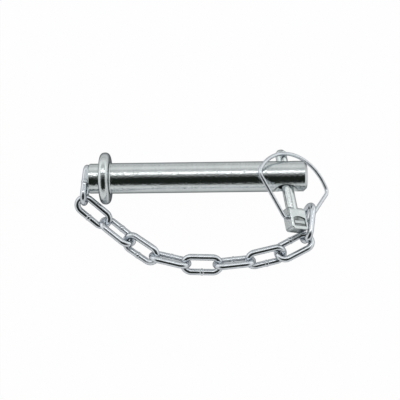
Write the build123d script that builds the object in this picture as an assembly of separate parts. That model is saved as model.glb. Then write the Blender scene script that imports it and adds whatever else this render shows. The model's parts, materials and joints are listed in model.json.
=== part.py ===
from build123d import *
from math import asin, atan2, cos, degrees, dist, hypot, pi, radians, sin
import os

os.makedirs("parts", exist_ok=True)

# World frame: the origin is on the axis of the shaft, midway between the seating face of the collar and
# the cross hole. +X points to the cross hole, +Y to the tip of the linch pin and +Z up.

# Main pin
SHAFT_D = 25.4
GRIP = 145.0
END_LENGTH = 17.5
END_CHAMFER = 2.5
COLLAR_D = 43.2
COLLAR_T = 8.4
COLLAR_EDGE = 3.8
NECK_CHAMFER = 0.8
STUB_LENGTH = 9.2
STUB_D = 24.8
STUB_CHAMFER = 0.8
CROSS_D = 13.0
MOUTH_D = 20.0
MOUTH_OVER = 1.0

# Linch pin, with its lengths along its own axis from the axis of the shaft
SHANK_D = 9.5
LEAN = 7.7
TIP_AT = 23.6
TIP_FLAT_D = 5.0
TIP_TAPER = 2.4
HEAD_AT = 29.0
HEAD_LENGTH = 19.6
HEAD_W = 17.0
HEAD_T = 9.6
HEAD_SHOULDER = 3.6
HEAD_SHIFT = 1.5
HEAD_TURN = 55.2
HEAD_CORNER = 2.5
HEAD_EDGE = 0.8
POCKET_W = 13.0
POCKET_LENGTH = 8.6
POCKET_END = 2.4
POCKET_DEPTH = 0.9
POCKET_ARC = 1.6
BAR_W = 10.4
BAR_T = 2.2
HINGE_AT = 38.1

# Ring of the linch pin, bent from round wire
RING_WIRE = 3.1
HINGE_CLEAR = 0.1
RING_SHIFT = 1.9
RING_SKEW = -4.4
RING_RISE = 6.9
RING_STUB = 3.5
RING_BEND = 2.5
RING_ARC = 40.3
RING_REACH = 56.5
RIGHT_NECK = 12.45
RIGHT_CORNER = 5.8
RIGHT_CORNER_AT = 25.3
LEFT_NECK = 10.75
LEFT_CORNER = 6.2
LEFT_CORNER_AT = 31.7

# Keeper chain
WIRE = 4.4
PITCH = 26.7
LINK_W = 19.2
WELD_LENGTH = 5.0
WELD_RISE = 0.4
SINK = 0.5
PLAYS = [0.3, 0.3, 2.1, 0.3, 0.3, 0.3, 0.3, 1.0, 0.3]
FIRST_Y = -5.8
FIRST_LEAN = 4.0
HEADINGS = [-38, -41, -37, -15, -2, 6, 14, 28, 84]
ROLLS = [34, -38, 41, -52, 43, -52, 53, -8, 112]
SLOPES = [-22, -4, 0, 0, 0, 0, 0, 3, 1]
RISES = [4.8, -1.2, -2.4, -1.5, -2.2, -1.5, -1.3, -0.4, 1.2]
HOOK_AT = 1.4
HOOK_SIDE = 1.35
HOOK_ALONG = -0.1

SHAFT_R = SHAFT_D / 2
SEAT_X = -GRIP / 2
HOLE_X = GRIP / 2
END_X = HOLE_X + END_LENGTH
STUB_X = SEAT_X - COLLAR_T - STUB_LENGTH
FLOOR = -COLLAR_D / 2
HEAD_END = HEAD_AT + HEAD_LENGTH


def make_main_pin():
    collar = Pos(SEAT_X - COLLAR_T / 2, 0, 0) * Rot(0, 90, 0) * Cylinder(COLLAR_D / 2, COLLAR_T)
    collar = fillet(collar.edges().filter_by(GeomType.CIRCLE), COLLAR_EDGE)
    outline = Polyline(
        (STUB_X, 0),
        (STUB_X, STUB_D / 2 - STUB_CHAMFER),
        (STUB_X + STUB_CHAMFER, STUB_D / 2),
        (SEAT_X - COLLAR_T / 2, STUB_D / 2),
        (SEAT_X - COLLAR_T / 2, SHAFT_R + NECK_CHAMFER),
        (SEAT_X, SHAFT_R + NECK_CHAMFER),
        (SEAT_X + NECK_CHAMFER, SHAFT_R),
        (END_X - END_CHAMFER, SHAFT_R),
        (END_X, SHAFT_R - END_CHAMFER),
        (END_X, 0),
        close=True,
    )
    body = collar + revolve(make_face(outline), axis=Axis.X)
    depth = (MOUTH_D - CROSS_D) / 2 + MOUTH_OVER
    mouth = Cone(CROSS_D / 2, MOUTH_D / 2 + MOUTH_OVER, depth, align=(Align.CENTER, Align.CENTER, Align.MAX))
    mouth = Pos(0, 0, SHAFT_R + MOUTH_OVER) * mouth
    cutter = Rot(90, 0, 0) * Cylinder(CROSS_D / 2, 2 * SHAFT_D)
    cutter += Rot(90, 0, 0) * mouth
    cutter += Rot(-90, 0, 0) * mouth
    return body - Pos(HOLE_X, 0, 0) * cutter


# Frames of the linch pin: along is the way to its tip, across the width of its head, face the way its head faces
lean = radians(LEAN)
turn = radians(HEAD_TURN)
ALONG = Vector(-sin(lean), cos(lean), 0)
ACROSS = Vector(cos(lean), sin(lean), 0) * sin(turn) - Vector(0, 0, cos(turn))
FACE = ACROSS.cross(ALONG)
LINCH = Plane(origin=(HOLE_X, 0, 0), x_dir=ACROSS, z_dir=FACE)

# Frames of the ring, in the linch pin's frame: its hinge axis runs across the head
skew = radians(RING_SKEW)
rise = radians(RING_RISE)
HINGE_X = Vector(cos(skew), sin(skew), 0)
RING_Y = Vector(-sin(skew) * cos(rise), cos(skew) * cos(rise), sin(rise))
HINGE = Vector(0, -HINGE_AT, 0)
RING = Plane(origin=HINGE + HINGE_X * RING_SHIFT, x_dir=HINGE_X, z_dir=HINGE_X.cross(RING_Y))


def make_linch_pin():
    outline = Polyline(
        (0, TIP_AT),
        (TIP_FLAT_D / 2, TIP_AT),
        (SHANK_D / 2, TIP_AT - TIP_TAPER),
        (SHANK_D / 2, -HEAD_AT - HEAD_SHOULDER),
        (0, -HEAD_AT - HEAD_SHOULDER),
        close=True,
    )
    shank = revolve(make_face(outline), axis=Axis.Y)
    head = Pos(HEAD_SHIFT, -HEAD_AT - HEAD_LENGTH / 2, 0) * Box(HEAD_W, HEAD_LENGTH, HEAD_T)
    head = fillet(head.edges().filter_by(Axis.Z), HEAD_CORNER)
    side = Rectangle(HEAD_LENGTH, HEAD_T)
    side = fillet(side.vertices().sort_by(Axis.X)[-2:], HEAD_SHOULDER)
    head &= extrude(Plane.YZ * Pos(-HEAD_AT - HEAD_LENGTH / 2, 0) * side, HEAD_W, both=True)
    head = fillet(head.faces().sort_by(Axis.Z)[-1].edges(), HEAD_EDGE)
    head = fillet(head.faces().sort_by(Axis.Z)[0].edges(), HEAD_EDGE)
    low = -HEAD_END + POCKET_END
    high = low + POCKET_LENGTH
    left = HEAD_SHIFT - POCKET_W / 2
    right = HEAD_SHIFT + POCKET_W / 2
    pocket = extrude(make_face([
        Line((left, low), (right, low)),
        Line((right, low), (right, high - POCKET_ARC)),
        ThreePointArc((right, high - POCKET_ARC), (HEAD_SHIFT, high), (left, high - POCKET_ARC)),
        Line((left, high - POCKET_ARC), (left, low)),
    ]), SHANK_D)
    pocket = Pos(0, 0, HEAD_T / 2 - POCKET_DEPTH) * pocket
    bar = Pos(HEAD_SHIFT, low + POCKET_LENGTH * 0.42, HEAD_T / 2 - POCKET_DEPTH) * Box(
        BAR_W, BAR_T, POCKET_DEPTH * 1.2)
    pocket -= bar
    body = head + shank
    body -= pocket
    body -= mirror(pocket, about=Plane.XY)
    hole = Plane(origin=HINGE, x_dir=(0, 0, 1), z_dir=HINGE_X) * Cylinder(
        RING_WIRE / 2 + HINGE_CLEAR, 3 * HEAD_W)
    return LINCH * (body - hole)


def half_ring(neck, round_r, corner_at):
    # one side of the ring in its own plane, from the end inside the head to the middle of the arc
    centre = (0, RING_REACH - RING_ARC)
    at = radians(corner_at)
    corner = (centre[0] + (RING_ARC - round_r) * cos(at), centre[1] + (RING_ARC - round_r) * sin(at))
    bend = (neck, RING_BEND)
    gap = (corner[0] - bend[0], corner[1] - bend[1])
    leg = atan2(gap[1], gap[0]) - asin((round_r - RING_BEND) / hypot(*gap))
    normal = (-sin(leg), cos(leg))
    leg_start = (bend[0] - RING_BEND * normal[0], bend[1] - RING_BEND * normal[1])
    leg_end = (corner[0] - round_r * normal[0], corner[1] - round_r * normal[1])
    leg_at = degrees(leg) - 90
    pieces = [
        Line((RING_STUB, 0), (neck, 0)),
        CenterArc(bend, RING_BEND, -90, degrees(leg)),
        Line(leg_start, leg_end),
        CenterArc(corner, round_r, leg_at, corner_at - leg_at),
        CenterArc(centre, RING_ARC, corner_at, 90 - corner_at),
    ]
    return pieces, leg_start, leg_end


def make_linch_ring():
    right = half_ring(RIGHT_NECK, RIGHT_CORNER, RIGHT_CORNER_AT)[0]
    left = half_ring(LEFT_NECK, LEFT_CORNER, LEFT_CORNER_AT)[0]
    path = Wire([piece.edge() for piece in right] + [mirror(piece, about=Plane.YZ).edge() for piece in left])
    section = Plane(origin=(RING_STUB, 0, 0), z_dir=(1, 0, 0)) * Circle(RING_WIRE / 2)
    return LINCH * RING * sweep(section, path=path)


# Chain: a link is drawn with its long axis along X and its width along Y
BEND_R = (LINK_W - WIRE) / 2
HALF_SIDE = PITCH / 2 - LINK_W / 2 + WIRE


def make_link():
    loop = Wire([
        Line((-HALF_SIDE, -BEND_R), (HALF_SIDE, -BEND_R)).edge(),
        CenterArc((HALF_SIDE, 0), BEND_R, -90, 180).edge(),
        Line((HALF_SIDE, BEND_R), (-HALF_SIDE, BEND_R)).edge(),
        CenterArc((-HALF_SIDE, 0), BEND_R, 90, 180).edge(),
    ])
    link = sweep(Plane(origin=(0, -BEND_R, 0), z_dir=(1, 0, 0)) * Circle(WIRE / 2), path=loop)
    # the butt weld in the middle of one long side stands a little proud
    half = WELD_LENGTH / 2
    bead = revolve(make_face([
        Line((-half, 0), (half, 0)),
        Line((half, 0), (half, WIRE / 2 - 0.05)),
        ThreePointArc((half, WIRE / 2 - 0.05), (0, WIRE / 2 + WELD_RISE), (-half, WIRE / 2 - 0.05)),
        Line((-half, WIRE / 2 - 0.05), (-half, 0)),
    ]), axis=Axis.X)
    return link + Pos(0, -BEND_R, 0) * bead


def frame_of(heading, roll, slope):
    level = Vector(cos(radians(heading)), sin(radians(heading)), 0)
    side = Vector(-level.Y, level.X, 0)
    along = level * cos(radians(slope)) + Vector(0, 0, sin(radians(slope)))
    width = side * cos(radians(roll)) + along.cross(side) * sin(radians(roll))
    return along, width


def end_spots():
    spots = [(HALF_SIDE * part, side * BEND_R) for part in (0.2, 0.5, 0.8) for side in (1, -1)]
    for step in range(-12, 13):
        at = pi / 2 * step / 12
        spots.append((HALF_SIDE + BEND_R * cos(at), BEND_R * sin(at)))
    return spots


END_SPOTS = end_spots()


def end_line(centre, along, width, end):
    # points on the centreline of the wire in one half of a link
    cx, cy, cz = centre
    ax, ay, az = along
    wx, wy, wz = width
    return [(cx + ax * end * x + wx * y, cy + ay * end * x + wy * y, cz + az * end * x + wz * y) for x, y in END_SPOTS]


def pull(last, along, width, height, play):
    # the next link's centre when it is drawn out until only the play is left between the two wires;
    # of each two links the one that stands turns about the middle of its end, so its bend is the pivot
    centre, last_along, last_width = last
    held = end_line(tuple(centre), tuple(last_along), tuple(last_width), 1)
    pivot = PITCH / 2 + WIRE / 2
    near = PITCH / 2 - 2 * WIRE
    far = PITCH / 2
    for step in range(10):
        reach = (near + far) / 2
        if abs(last_width.Z) > abs(width.Z):
            spot = centre + last_along * pivot + along * reach
        else:
            spot = centre + last_along * reach + along * pivot
        spot = Vector(spot.X, spot.Y, height)
        own = end_line(tuple(spot), tuple(along), tuple(width), -1)
        if min(dist(p, q) for p in held for q in own) > WIRE + play:
            near = reach
        else:
            far = reach
    return spot


def lay(curl, swing):
    along, width = frame_of(-90 - FIRST_LEAN, 90, 0)
    reach = (HALF_SIDE + BEND_R) * sin(radians(FIRST_LEAN))
    links = [(Vector(STUB_X - WIRE / 2 + SINK - reach, FIRST_Y, 0), along, width)]
    middle = sum(HEADINGS) / len(HEADINGS)
    for heading, roll, slope, lift, play in zip(HEADINGS, ROLLS, SLOPES, RISES, PLAYS):
        along, width = frame_of(middle + swing + curl * (heading - middle), roll, slope)
        height = FLOOR + LINK_W / 2 + lift
        links.append((pull(links[-1], along, width, height, play), along, width))
    return links


def hooked():
    # the chain, curled and swung until its last link holds the ring
    target = LINCH.from_local_coords(RING.from_local_coords(Vector(*HOOK_SPOT, 0)))
    swing = 0.0
    for turn_step in range(3):
        straight = 0.4
        tight = 1.6
        for step in range(12):
            curl = (straight + tight) / 2
            links = lay(curl, swing)
            start = links[0][0] + links[0][1] * (PITCH / 2)
            tip = links[-1][0] + links[-1][1] * HOOK_AT + links[-1][2] * HOOK_SIDE
            if hypot(tip.X - start.X, tip.Y - start.Y) > hypot(target.X - start.X, target.Y - start.Y):
                straight = curl
            else:
                tight = curl
        swing += degrees(atan2(target.Y - start.Y, target.X - start.X) - atan2(tip.Y - start.Y, tip.X - start.X))
    return links


LEG_START, LEG_END = half_ring(RIGHT_NECK, RIGHT_CORNER, RIGHT_CORNER_AT)[1:]
LEG = hypot(LEG_END[0] - LEG_START[0], LEG_END[1] - LEG_START[1])
HOOK_SPOT = [a + (b - a) * HOOK_ALONG / LEG for a, b in zip(LEG_START, LEG_END)]

parts = {
    "main_pin": make_main_pin(),
    "linch_pin": make_linch_pin(),
    "linch_ring": make_linch_ring(),
}
link = make_link()
for number, (centre, along, width) in enumerate(hooked(), start=1):
    # the welds lie on the two sides of the chain by turns
    turned = 180 * (number % 2)
    place = Plane(origin=centre, x_dir=along, z_dir=along.cross(width)) * Rot(0, 0, turned)
    parts[f"chain_link_{number:02d}"] = place * link

for node, shape in parts.items():
    export_step(shape, f"parts/{node}.step")
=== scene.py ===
import json
import math

import bpy
import numpy as np
from mathutils import Matrix, Vector


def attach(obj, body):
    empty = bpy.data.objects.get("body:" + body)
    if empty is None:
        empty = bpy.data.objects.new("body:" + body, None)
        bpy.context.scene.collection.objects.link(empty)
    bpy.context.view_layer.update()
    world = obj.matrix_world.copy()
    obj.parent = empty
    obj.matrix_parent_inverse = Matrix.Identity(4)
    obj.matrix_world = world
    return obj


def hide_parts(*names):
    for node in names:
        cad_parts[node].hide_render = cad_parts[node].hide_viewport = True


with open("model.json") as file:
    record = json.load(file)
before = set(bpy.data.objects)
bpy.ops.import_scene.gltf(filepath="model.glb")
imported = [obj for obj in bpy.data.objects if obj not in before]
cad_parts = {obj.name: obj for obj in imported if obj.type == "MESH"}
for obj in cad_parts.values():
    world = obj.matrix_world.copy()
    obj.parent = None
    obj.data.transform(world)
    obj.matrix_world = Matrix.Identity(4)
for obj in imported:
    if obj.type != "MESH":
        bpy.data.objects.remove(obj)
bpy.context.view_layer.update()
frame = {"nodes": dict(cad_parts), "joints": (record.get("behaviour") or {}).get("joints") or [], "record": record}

WHITE = (1, 1, 1, 1)

# zinc on bar and forging, zinc on wire, and a painted shade for the hollows of the linch pin's head
ZINC = (0.80, 0.84, 0.84, 1)
ZINC_DULL = (0.66, 0.70, 0.70, 1)
WIRE_ZINC = (0.80, 0.84, 0.88, 1)
WIRE_ZINC_DULL = (0.66, 0.69, 0.73, 1)
HOLLOW_PAINTED_SHADE = (0.045, 0.055, 0.05, 1)
# a painted shade: the metal's edges are tinted dark where they mirror at a grazing angle
EDGE_PAINTED_SHADE = (0.10, 0.11, 0.12, 1)

# the hollow in each broad face of the linch pin's head, measured from the hinge of the ring
HOLLOW_FLOOR = 0.0043
HOLLOW_HALF = 0.0076
HOLLOW_TOP = -0.0022
HOLLOW_END = 0.0092
HOLLOW_EDGE = 0.0006
HOLLOW_FLOOR_EDGE = 0.0004
HEAD_SHIFT = 0.0015

# the butt weld of a link, with the place and width of its seams as shares of half the weld
WELD_LENGTH = 0.005
WELD_RISE = 0.0003
SEAM_DEPTH = 0.0007
SEAM_AT = 0.55
SEAM_HALF = 0.16
BEND_POINTS = 90
PATH_POINTS = 220
WIRE_SIDES = 28
END_SHARE = 0.6

# the floor lies just under the ring and the lowest links
FLOOR_Z = -0.0221
FLOOR_REACH = 6.0
FLOOR_PAPER = (0.86, 0.87, 0.87, 1)
FLOOR_SEEN = 0.98
FLOOR_MIRRORED = 0.5

ROOM_DARK = (0.012, 0.016, 0.013, 1)
ROOM_PALE = (1.10, 1.12, 1.12, 1)
LAMP_PLACE = (0.0, 0.17, 0.884)
LAMP_SIZE = (1.2, 0.13)
LAMP_POWER = 0.8

ELEVATION = math.radians(68.0)
ROLL = math.radians(0.72)
DISTANCE = 0.65
VIEW_ANGLE = math.radians(28.36)
AIM = Vector((0.0015, -0.0203, 0))


class Maths:
    """A number that varies over a surface: Python's operators add the shader's Math nodes."""

    def __init__(self, tree, socket):
        self.tree = tree
        self.socket = socket

    def apply(self, operation, *others):
        values = [other.socket if isinstance(other, Maths) else other for other in others]
        return self.tree.number("ShaderNodeMath", "Value", {"operation": operation}, {0: self.socket, **{
            place: value for place, value in enumerate(values, start=1)}})

    def __add__(self, other):
        return self.apply("ADD", other)

    def __sub__(self, other):
        return self.apply("SUBTRACT", other)

    def __mul__(self, other):
        return self.apply("MULTIPLY", other)

    def __truediv__(self, other):
        return self.apply("DIVIDE", other)

    def __rsub__(self, other):
        return (self * -1.0) + other

    __radd__ = __add__
    __rmul__ = __mul__

    def clamp(self):
        return self.apply("MAXIMUM", 0.0).apply("MINIMUM", 1.0)

    def above(self, edge, width):
        # 0 below edge and 1 above it, with a soft step of that width
        return ((self - edge) / width + 0.5).clamp()


class Nodes:
    """A node tree, with one method that adds any node."""

    def __init__(self, tree):
        self.tree = tree

    def node(self, kind, settings=None, sockets=None):
        node = self.tree.nodes.new(kind)
        for name, value in (settings or {}).items():
            setattr(node, name, value)
        for name, value in (sockets or {}).items():
            if isinstance(value, Maths):
                value = value.socket
            if isinstance(value, bpy.types.NodeSocket):
                self.tree.links.new(value, node.inputs[name])
            else:
                node.inputs[name].default_value = value
        return node

    def number(self, kind, output, settings=None, sockets=None):
        return Maths(self, self.node(kind, settings, sockets).outputs[output])

    def parts(self, vector):
        split = self.node("ShaderNodeSeparateXYZ", {}, {"Vector": vector})
        return [Maths(self, split.outputs[axis]) for axis in "XYZ"]


class Finish(Nodes):
    """A material or a world, with the steps that all its finishes share."""

    def __init__(self, holder):
        self.holder = holder
        holder.use_nodes = True
        holder.node_tree.nodes.clear()
        super().__init__(holder.node_tree)

    def place(self, scale=(1, 1, 1)):
        own = self.node("ShaderNodeTexCoord").outputs["Object"]
        return self.node("ShaderNodeMapping", {}, {"Vector": own, "Scale": scale}).outputs["Vector"]

    def distance(self, start, direction):
        # how far the surface lies from start, along the direction
        own = self.node("ShaderNodeTexCoord").outputs["Object"]
        reach = self.number("ShaderNodeVectorMath", "Value", {"operation": "DOT_PRODUCT"}, {
            0: own, 1: direction})
        return reach - start.dot(direction)

    def noise(self, place, scale, detail=3.0, roughness=0.55):
        return self.number("ShaderNodeTexNoise", "Fac", {}, {
            "Vector": place, "Scale": scale, "Detail": detail, "Roughness": roughness})

    def blend(self, amount, low, high):
        return self.node("ShaderNodeMix", {"data_type": "RGBA"}, {0: amount, 6: low, 7: high}).outputs[2]

    def bump(self, height, distance):
        return self.node("ShaderNodeBump", {}, {
            "Height": height, "Distance": distance, "Strength": 1.0}).outputs["Normal"]

    def metal(self, colour, rough, normal):
        # the Specular Tint paints the metal's grazing edges dark, a painted shade
        shader = self.node("ShaderNodeBsdfPrincipled", {}, {
            "Base Color": colour, "Metallic": 1.0, "Roughness": rough, "Normal": normal,
            "Specular Tint": EDGE_PAINTED_SHADE})
        self.node("ShaderNodeOutputMaterial", {}, {"Surface": shader.outputs["BSDF"]})
        return self.holder


def turned_steel():
    """The main pin: bright bar with the lathe's fine rings close together along X."""
    finish = Finish(bpy.data.materials.new("turned_steel"))
    lathe = finish.noise(finish.place(scale=(1500, 60, 60)), scale=1.0, detail=4.0, roughness=0.7)
    grain = finish.noise(finish.place(), scale=850, detail=1.0)
    bloom = finish.noise(finish.place(), scale=90, detail=4.0)
    colour = finish.blend((lathe * 0.4 + bloom * 0.6).above(0.5, 0.5), ZINC_DULL, ZINC)
    rough = grain * 0.10 + bloom * 0.06 + 0.07
    return finish.metal(colour, rough, finish.bump(lathe * 0.1 + grain * 0.9, distance=0.00016))


def forged_steel():
    """The linch pin: die-struck, with painted shade, a dark colour, down in the hollows of its head's two broad
    faces.
    """
    finish = Finish(bpy.data.materials.new("forged_steel"))
    joints = {joint["name"]: joint for joint in frame["joints"]}
    outward = Vector(joints["linch_slide"]["axis"])
    across = Vector(joints["ring_swing"]["axis"])
    eye = Vector(joints["ring_swing"]["pos_m"])
    depth = finish.distance(eye, across.cross(outward)).apply("ABSOLUTE")
    sideways = (finish.distance(eye, across) - HEAD_SHIFT).apply("ABSOLUTE")
    down = finish.distance(eye, outward)
    sunk = 1.0 - depth.above(HOLLOW_FLOOR, HOLLOW_FLOOR_EDGE)
    inside = 1.0 - sideways.above(HOLLOW_HALF, HOLLOW_EDGE)
    between = down.above(HOLLOW_TOP, HOLLOW_EDGE) * (1.0 - down.above(HOLLOW_END, HOLLOW_EDGE))
    hollow_shade_mask = sunk * inside * between
    skin = finish.noise(finish.place(), scale=700, detail=4.0)
    bloom = finish.noise(finish.place(), scale=140, detail=3.0)
    plated = finish.blend(bloom.above(0.5, 0.4), ZINC_DULL, ZINC)
    # painted shade: the hollows of the head's broad faces are coloured dark, by a random amount
    colour = finish.blend(hollow_shade_mask * (bloom * 1.5).clamp(), plated, HOLLOW_PAINTED_SHADE)
    rough = skin * 0.10 + bloom * 0.10 + 0.06
    return finish.metal(colour, rough, finish.bump(skin, distance=0.00012))


def drawn_wire(name, depth, dullness):
    """Smooth plated wire, with a skin of that depth."""
    finish = Finish(bpy.data.materials.new(name))
    skin = finish.noise(finish.place(), scale=600, detail=3.0)
    bloom = finish.noise(finish.place(), scale=160, detail=3.0)
    colour = finish.blend(bloom.above(0.5, 0.4), WIRE_ZINC_DULL, WIRE_ZINC)
    rough = skin * 0.08 + bloom * 0.10 + dullness
    return finish.metal(colour, rough, finish.bump(skin, depth))


finishes = {
    "turned_steel": turned_steel(),
    "forged_steel": forged_steel(),
    "spring_wire": drawn_wire("spring_wire", depth=0.00002, dullness=0.18),
    "chain_wire": drawn_wire("chain_wire", depth=0.00003, dullness=0.08),
}
slot_of = {entry["node"]: entry["material_slot"] for entry in frame["record"]["subparts"]}
for name, node in frame["nodes"].items():
    for slot in node.material_slots:
        slot.material = finishes[slot_of[name]]


def link_maker():
    """The tree that bends and welds one link of chain: it lies on X, with its weld in the side at -Y."""
    tree = bpy.data.node_groups.new("link_maker", "GeometryNodeTree")
    sizes = {"Bend radius": 0.0, "Half side": 0.0, "Wire radius": 0.0, "Weld half": 0.0, "Weld rise": 0.0}
    for name in sizes:
        tree.interface.new_socket(name, in_out="INPUT", socket_type="NodeSocketFloat")
    tree.interface.new_socket("Finish", in_out="INPUT", socket_type="NodeSocketMaterial")
    tree.interface.new_socket("Link", in_out="OUTPUT", socket_type="NodeSocketGeometry")
    make = Nodes(tree)
    given = make.node("NodeGroupInput").outputs
    number = {name: Maths(make, given[name]) for name in sizes}
    ring = make.node("GeometryNodeCurvePrimitiveCircle", {"mode": "RADIUS"}, {
        "Resolution": BEND_POINTS, "Radius": given["Bend radius"]}).outputs["Curve"]
    # the ring is parted across its middle and drawn out to a link
    where = make.node("GeometryNodeInputPosition").outputs["Position"]
    out = make.parts(where)[0].apply("SIGN") * number["Half side"]
    shift = make.node("ShaderNodeCombineXYZ", {}, {"X": out}).outputs["Vector"]
    drawn = make.node("GeometryNodeSetPosition", {}, {"Geometry": ring, "Offset": shift}).outputs["Geometry"]
    path = make.node("GeometryNodeResampleCurve", {"mode": "COUNT"}, {
        "Curve": drawn, "Count": PATH_POINTS}).outputs["Curve"]
    # the butt weld stands proud, between two pinched seams
    along, across, _ = make.parts(make.node("GeometryNodeInputPosition").outputs["Position"])
    reach = along.apply("ABSOLUTE") / number["Weld half"]
    side = (across * -1.0).apply("GREATER_THAN", 0.0)
    crown = (1.0 - reach * reach).clamp() * number["Weld rise"]
    seam = (1.0 - ((reach - SEAM_AT).apply("ABSOLUTE") / SEAM_HALF)).clamp() * SEAM_DEPTH
    wire = number["Wire radius"] + side * (crown - seam)
    section = make.node("GeometryNodeCurvePrimitiveCircle", {"mode": "RADIUS"}, {
        "Resolution": WIRE_SIDES, "Radius": 1.0}).outputs["Curve"]
    tube = make.node("GeometryNodeCurveToMesh", {}, {
        "Curve": path, "Profile Curve": section, "Scale": wire}).outputs["Mesh"]
    smooth = make.node("GeometryNodeSetShadeSmooth", {}, {"Geometry": tube}).outputs["Geometry"]
    real = make.node("GeometryNodeRealizeInstances", {}, {"Geometry": smooth}).outputs["Geometry"]
    coated = make.node("GeometryNodeSetMaterial", {}, {
        "Geometry": real, "Material": given["Finish"]}).outputs["Geometry"]
    make.node("NodeGroupOutput", {}, {"Link": coated})
    return tree


def lie_of(solid):
    """How a link lies (long way X, wide way Y, thin way Z, weld at -Y), and half its three sizes."""
    spots = np.array([corner.co for corner in solid.data.vertices])
    spread = spots - spots.mean(0)
    ways = np.linalg.eigh(spread.T @ spread)[1].T[::-1]
    ways[2] = np.cross(ways[0], ways[1])
    middle = (spots @ ways.T).min(0) * 0.5 + (spots @ ways.T).max(0) * 0.5
    own = spots @ ways.T - middle
    ends = own[np.abs(own[:, 0]) > END_SHARE * own[:, 0].max()]
    shift = (ends[:, 1].max() + ends[:, 1].min()) / 2
    if shift < 0:
        # the weld stands proud on the high side, so the link is turned round
        ways[:2] *= -1
        middle[:2] *= -1
        shift = -shift
    middle[1] += shift
    place = Matrix(np.vstack([ways, middle @ ways]).T.tolist()).to_4x4()
    # the width is read where the bend has begun, 0.8 mm under the solid link's, and the wire is read
    # over the weld bead, 0.8 mm thicker than the solid link's
    half = own[:, 0].max(), (ends[:, 1].max() - ends[:, 1].min()) / 2, own[:, 2].max()
    return place, half


def bend_link(tree, name, solid):
    """Bends a link from wire, as long as the solid one that it replaces and in its place."""
    place, (half_length, half_width, wire) = lie_of(solid)
    bend = half_width - wire
    sizes = {"Bend radius": bend, "Half side": half_length - half_width, "Wire radius": wire,
             "Weld half": WELD_LENGTH / 2, "Weld rise": WELD_RISE, "Finish": finishes["chain_wire"]}
    blank = bpy.data.objects.new("blank", bpy.data.meshes.new("blank"))
    bpy.context.scene.collection.objects.link(blank)
    maker = blank.modifiers.new("link", "NODES")
    maker.node_group = tree
    for socket in tree.interface.items_tree:
        if socket.in_out == "INPUT":
            maker[socket.identifier] = sizes[socket.name]
    bpy.context.view_layer.update()
    whole = blank.evaluated_get(bpy.context.evaluated_depsgraph_get())
    mesh = bpy.data.meshes.new_from_object(whole)
    bpy.data.objects.remove(blank)
    mesh.transform(place)
    link = bpy.data.objects.new(name.replace("chain_link", "welded_link"), mesh)
    bpy.context.scene.collection.objects.link(link)
    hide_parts(name)
    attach(link, body_of[name])
    return link


body_of = {name: body for body, names in frame["record"]["behaviour"]["bodies"].items() for name in names}
link_tree = link_maker()
for name, node in frame["nodes"].items():
    if name.startswith("chain_link"):
        bend_link(link_tree, name, node)


def floor():
    """White paper, which takes the shadow and shows white to the camera."""
    mesh = bpy.data.meshes.new("floor")
    corners = [(x * FLOOR_REACH, y * FLOOR_REACH, 0) for x, y in ((-1, -1), (1, -1), (1, 1), (-1, 1))]
    mesh.from_pydata(corners, [], [(0, 1, 2, 3)])
    mesh.transform(Matrix.Translation((0, 0, FLOOR_Z)))
    piece = bpy.data.objects.new("floor", mesh)
    bpy.context.scene.collection.objects.link(piece)
    finish = Finish(bpy.data.materials.new("white_floor"))
    ray = finish.node("ShaderNodeLightPath").outputs
    seen = Maths(finish, ray["Is Camera Ray"]) * FLOOR_SEEN
    mirrored = (Maths(finish, ray["Is Glossy Ray"]) * FLOOR_MIRRORED
                + Maths(finish, ray["Is Transmission Ray"]) * FLOOR_MIRRORED)
    paper = finish.node("ShaderNodeBsdfDiffuse", {}, {"Color": FLOOR_PAPER}).outputs["BSDF"]
    white = finish.node("ShaderNodeEmission", {}, {"Color": WHITE, "Strength": 1.0}).outputs["Emission"]
    mixed = finish.node("ShaderNodeMixShader", {}, {
        0: (seen + mirrored).clamp(), 1: paper, 2: white}).outputs["Shader"]
    finish.node("ShaderNodeOutputMaterial", {}, {"Surface": mixed})
    mesh.materials.append(finish.holder)


floor()


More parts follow.
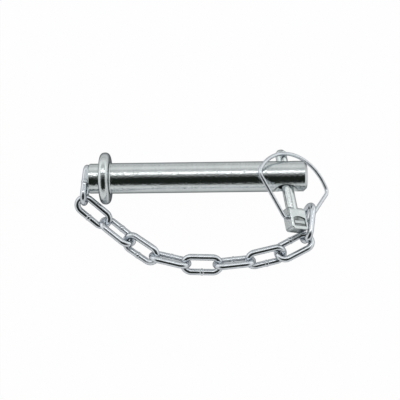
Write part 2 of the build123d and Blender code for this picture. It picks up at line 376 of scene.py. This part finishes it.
def studio_world():
    """The room that the metal mirrors. The camera itself sees white."""
    finish = Finish(bpy.data.worlds.new("studio"))
    way = finish.parts(finish.node("ShaderNodeTexCoord").outputs["Generated"])
    front = way[1] * -1.0
    height = way[2]
    # the room is dark in front, above a pale table, and grows paler over the top to the back
    side = way[0].apply("ABSOLUTE").above(0.60, 0.50)
    shade = front.above(0.16, 0.60) * (1.0 - side * 0.7)
    open_room = (1.0 - shade) * (1.0 - shade)
    table = 1.0 - height.above(0.23, 0.14)
    wall = height.above(0.25, 0.40) - height.above(0.72, 0.16) + height.above(0.90, 0.10)
    light = (open_room + table * (1.0 - open_room)) * (wall * 0.35 + 0.65) * (side * 0.37 + 0.73)
    colour = finish.blend(light, ROOM_DARK, ROOM_PALE)
    sky = finish.node("ShaderNodeBackground", {}, {"Color": colour, "Strength": 1.0}).outputs["Background"]
    white = finish.node("ShaderNodeBackground", {}, {"Color": WHITE, "Strength": 1.0}).outputs["Background"]
    seen = finish.node("ShaderNodeLightPath").outputs["Is Camera Ray"]
    mixed = finish.node("ShaderNodeMixShader", {}, {0: seen, 1: sky, 2: white}).outputs["Shader"]
    finish.node("ShaderNodeOutputWorld", {}, {"Surface": mixed})
    bpy.context.scene.world = finish.holder


studio_world()


def soft_box(name, at, aim, size, power):
    light = bpy.data.lights.new(name, "AREA")
    light.shape = "RECTANGLE"
    light.size = size[0]
    light.size_y = size[1]
    light.energy = power
    lamp = bpy.data.objects.new(name, light)
    lamp.location = at
    lamp.rotation_mode = "QUATERNION"
    lamp.rotation_quaternion = (Vector(aim) - Vector(at)).to_track_quat("-Z", "Y")
    bpy.context.scene.collection.objects.link(lamp)
    return lamp


soft_box("overhead", LAMP_PLACE, (0, 0, 0), LAMP_SIZE, LAMP_POWER)


def camera():
    data = bpy.data.cameras.new("camera")
    data.sensor_fit = "HORIZONTAL"
    data.angle = VIEW_ANGLE
    data.clip_start = 0.01
    data.clip_end = 20
    eye = bpy.data.objects.new("camera", data)
    back = Vector((0, -math.cos(ELEVATION), math.sin(ELEVATION)))
    turn = (-back).to_track_quat("-Z", "Y").to_matrix().to_4x4() @ Matrix.Rotation(-ROLL, 4, "Z")
    eye.matrix_world = Matrix.Translation(AIM + back * DISTANCE) @ turn
    bpy.context.scene.collection.objects.link(eye)
    bpy.context.scene.camera = eye


camera()
bpy.context.scene.view_settings.view_transform = "Standard"
